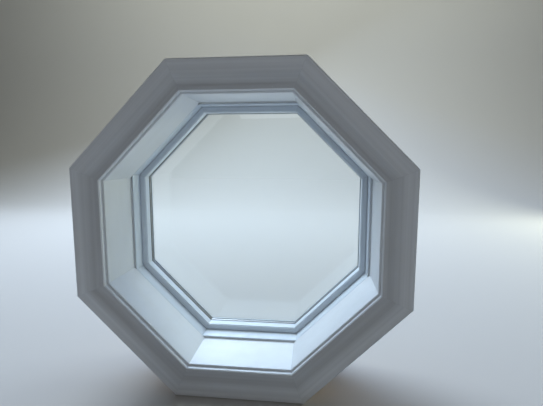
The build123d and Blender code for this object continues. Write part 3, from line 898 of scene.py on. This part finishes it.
block_rubber = ((0.02, 0.02, 0.022), (0.05, 0.05, 0.052), 900, 0.00004, 0.6)
fillings = {
    "bead_gasket": ("gasket_black", (0.012, 0.012, 0.013), (0.035, 0.035, 0.037), 1500, 0.00003, 0.5),
    "edge_sealant": ("sealant_black", (0.008, 0.008, 0.009), (0.025, 0.025, 0.026), 420, 0.00015, 0.55),
    "glazing_tape": ("tape_foam", (0.035, 0.035, 0.036), (0.075, 0.075, 0.076), 1900, 0.00008, 0.85),
    "setting_blocks": ("setting_blocks_rubber", *block_rubber),
    "side_blocks": ("side_blocks_rubber", *block_rubber),
}
for part_name, values in fillings.items():
    dress(part_name, soft_filling(*values))
print("soft fillings:", list(fillings))

# %% [markdown]
# ## Drying beads
# The spacer is filled with small beads that dry the air between the panes. Thousands of real
# spheres would never be seen, so the filling is one solid, and a Voronoi texture gives each bead
# a tone of its own and a rounded top.

# %% Drying beads
beads_per_metre, bead_rise = 900.0, 0.0003
clay_brown, clay_pale = (0.62, 0.50, 0.36), (0.80, 0.71, 0.56)
least_dull, most_dull = 0.75, 0.95
material, tree, shader, place = start_finish("desiccant_beads")
grains = add_node(tree, "ShaderNodeTexVoronoi", {"Vector": place, "Scale": beads_per_metre}).outputs
tone = add_node(tree, "ShaderNodeSeparateColor", {0: grains["Color"]}).outputs[0]
tree.links.new(blend(tree, tone, clay_brown, clay_pale), shader.inputs["Base Color"])
tree.links.new(spread(tree, tone, 0.0, 1.0, least_dull, most_dull), shader.inputs["Roughness"])
bump(tree, shader, calc(tree, "SUBTRACT", 1.0, grains["Distance"]), bead_rise)
dress("desiccant", material)
print("drying beads:", round(1000 / beads_per_metre, 1), "mm across")

# %% [markdown]
# ## Painted filler
# The joint at the diagonal boards, the gap round the frame and the brad holes are closed with
# filler under the same paint. It takes the brush strokes of the boards, but it is smoothed by hand,
# so it is a little lumpy and duller than they are.

# %% Painted filler
worn_filler, worn_share, lump_scale = (0.76, 0.78, 0.79), 0.5, 240
smooth_filler, rough_filler = 0.32, 0.46
material, tree, shader, place = start_finish("joint_paint")
side_place, side_seed = ring_coordinates(tree, place)
brushed = place_group(tree, brush_strokes, {"Vector": side_place, "Seed": side_seed})
lumps = noise(tree, place, 4.0, lump_scale, detail=3)
painted = lay_over(tree, paint_white, worn_filler, brushed["Streaks"], worn_share)
tree.links.new(painted, shader.inputs["Base Color"])
sheen = spread(tree, lumps, *usual_range, smooth_filler, rough_filler)
tree.links.new(sheen, shader.inputs["Roughness"])
bump(tree, shader, calc(tree, "ADD", brushed["Bristles"], lumps), paint_relief)
filled_parts = ("joint_filler", "brad_filler", "gap_sealant")
for part_name in filled_parts:
    dress(part_name, material)
print("painted filler:", filled_parts)

# %% [markdown]
# ## Plywood keys
# Thin plywood keys are glued into a slot across each mitre and hold it shut. They are bare wood of
# a paler kind than the boards, so the same group is used, with two colours of its own.

# %% Plywood keys
ply_early, ply_late = (0.72, 0.56, 0.38, 1), (0.58, 0.42, 0.26, 1)
ply_range, smooth_ply, rough_ply, ply_relief = (0.2, 0.8), 0.6, 0.8, 0.0001
material, tree, shader, place = start_finish("key_wood")
side_place = ring_coordinates(tree, place)[0]
wood = place_group(tree, bare_wood, {"Vector": side_place, "Early": ply_early, "Late": ply_late})
tree.links.new(wood["Color"], shader.inputs["Base Color"])
sheen = spread(tree, wood["Height"], *ply_range, smooth_ply, rough_ply)
tree.links.new(sheen, shader.inputs["Roughness"])
bump(tree, shader, wood["Height"], ply_relief)
dress("mitre_keys", material)
print("keys:", material.name)

# %% [markdown]
# ## Zinc on steel
# Clips tie the boards to the frame, screws hold the clips, and brads hold the casing. All are steel
# with a coat of zinc, which shows grey crystals of different brightness. A Voronoi texture draws
# just that: cells with a plain tone each. Darker smears, where the zinc has dulled, are less metallic.

# %% Zinc on steel
stain_grey, stain_share, stain_dulling = (0.38, 0.37, 0.36), 0.5, 0.25
smear_scale, stain_range, stained_metal = 180, (0.5, 0.75), 0.75
smooth_zinc, rough_zinc, zinc_relief = 0.28, 0.42, 0.00005


def zinc(name, crystal, dark, light):
    """Plated steel with crystals of one size."""
    material, tree, shader, place = start_finish(name)
    crystals = add_node(tree, "ShaderNodeTexVoronoi", {"Vector": place, "Scale": 1 / crystal}).outputs
    tone = add_node(tree, "ShaderNodeSeparateColor", {0: crystals["Color"]}).outputs[0]
    smear = noise(tree, place, 6.0, smear_scale, detail=4, roughness=0.65)
    stain = spread(tree, smear, *stain_range)
    colour = lay_over(tree, blend(tree, tone, dark, light), stain_grey, stain, stain_share)
    tree.links.new(colour, shader.inputs["Base Color"])
    tree.links.new(spread(tree, stain, 0.0, 1.0, 1.0, stained_metal), shader.inputs["Metallic"])
    dullness = add_share(tree, spread(tree, tone, 0.0, 1.0, smooth_zinc, rough_zinc), stain, stain_dulling)
    tree.links.new(dullness, shader.inputs["Roughness"])
    bump(tree, shader, smear, zinc_relief)
    return material


fixings = {
    "jamb_clips": ("clip_zinc", 0.004, (0.48, 0.49, 0.50), (0.70, 0.71, 0.72)),
    "clip_screws": ("screw_zinc", 0.0015, (0.50, 0.50, 0.49), (0.68, 0.68, 0.66)),
    "casing_brads": ("brad_steel", 0.002, (0.42, 0.42, 0.42), (0.60, 0.60, 0.60)),
}
for part_name, values in fixings.items():
    dress(part_name, zinc(*values))
print("fixings:", list(fixings))

# %% [markdown]
# ## The last check
# A part that was given no finish would be named here.

# %% Name the parts without a finish
for part_name, part in parts.items():
    if not any(slot.material for slot in part.material_slots):
        print("no finish on", part_name)
